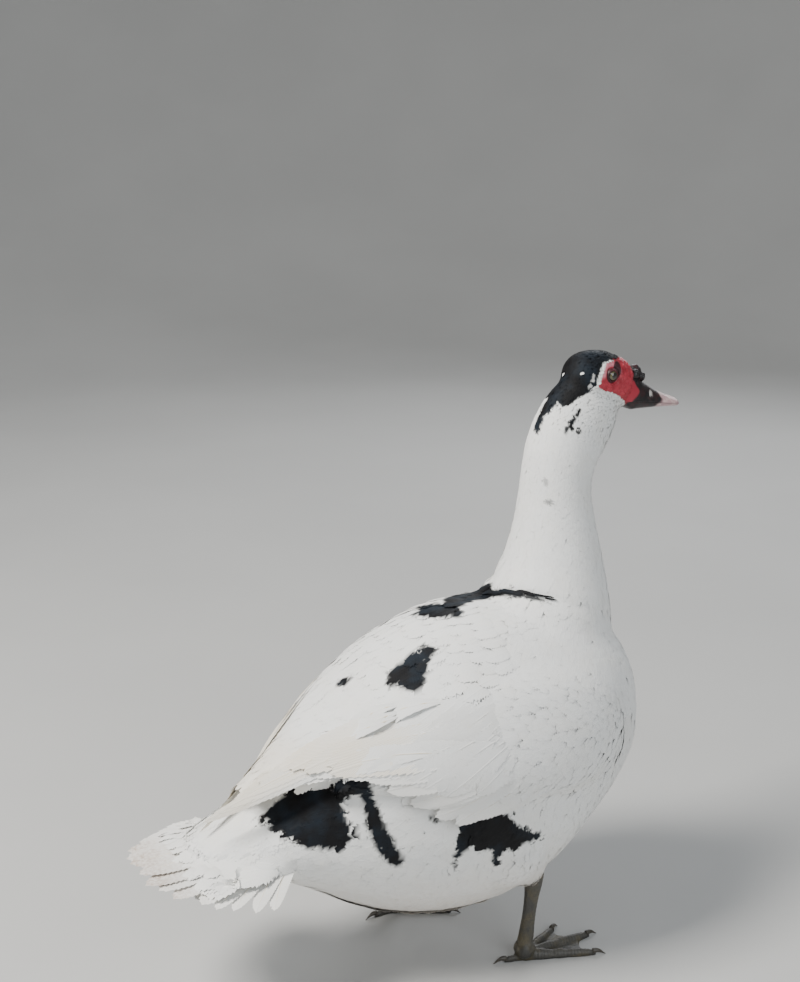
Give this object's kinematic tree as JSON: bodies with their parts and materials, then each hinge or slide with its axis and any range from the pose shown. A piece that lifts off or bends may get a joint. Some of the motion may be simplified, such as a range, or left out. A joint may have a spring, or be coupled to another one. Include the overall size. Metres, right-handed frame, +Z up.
{
  "type": "muscovy duck",
  "caption": "Life-size still model of a standing pied Muscovy duck: long upright neck, red bare face, dark knobbed bill, folded wings, fanned tail and webbed feet.",
  "frame": {"origin": "centre of the bird's bounding box, on the floor", "axes": "+X the bird's forward (bill), +Y its left, +Z up"},
  "size_m": [0.4478, 0.208, 0.4565],
  "materials": {
    "white_feather": "soft matt white contour feathers with black markings on crown, upper back, rump and thighs",
    "flight_feather": "satin cream-white flight feathers with fine barbs",
    "tail_feather": "satin white tail feathers, soiled brown at the tips",
    "red_skin": "bare warty red skin, slightly moist",
    "black_knob": "lumpy black fleshy knob",
    "bill_dark": "semi-gloss black horn",
    "bill_horn": "semi-gloss pale pink horn",
    "eye": "wet gloss, olive-yellow iris round a dark pupil",
    "leg_skin": "scaly grey-black skin",
    "claw": "semi-gloss dark horn"
  },
  "bodies": {
    "root": {"bill_lower": "bill_dark", "bill_nail": "bill_horn", "bill_upper": "bill_dark", "breast": "white_feather", "claw_hind_left": "claw", "claw_hind_right": "claw", "claw_inner_left": "claw", "claw_inner_right": "claw", "claw_middle_left": "claw", "claw_middle_right": "claw", "claw_outer_left": "claw", "claw_outer_right": "claw", "eye_left": "eye", "eye_right": "eye", "face_left": "red_skin", "face_right": "red_skin", "foot_left": "leg_skin", "foot_right": "leg_skin", "head": "white_feather", "knob": "black_knob", "neck_lower": "white_feather", "neck_upper": "white_feather", "primaries_left": "flight_feather", "primaries_right": "flight_feather", "rump": "white_feather", "shank_left": "leg_skin", "shank_right": "leg_skin", "tail_fan": "tail_feather", "thigh_left": "white_feather", "thigh_right": "white_feather", "trunk": "white_feather", "wing_left": "white_feather", "wing_right": "white_feather"}
  },
  "joints": []
}
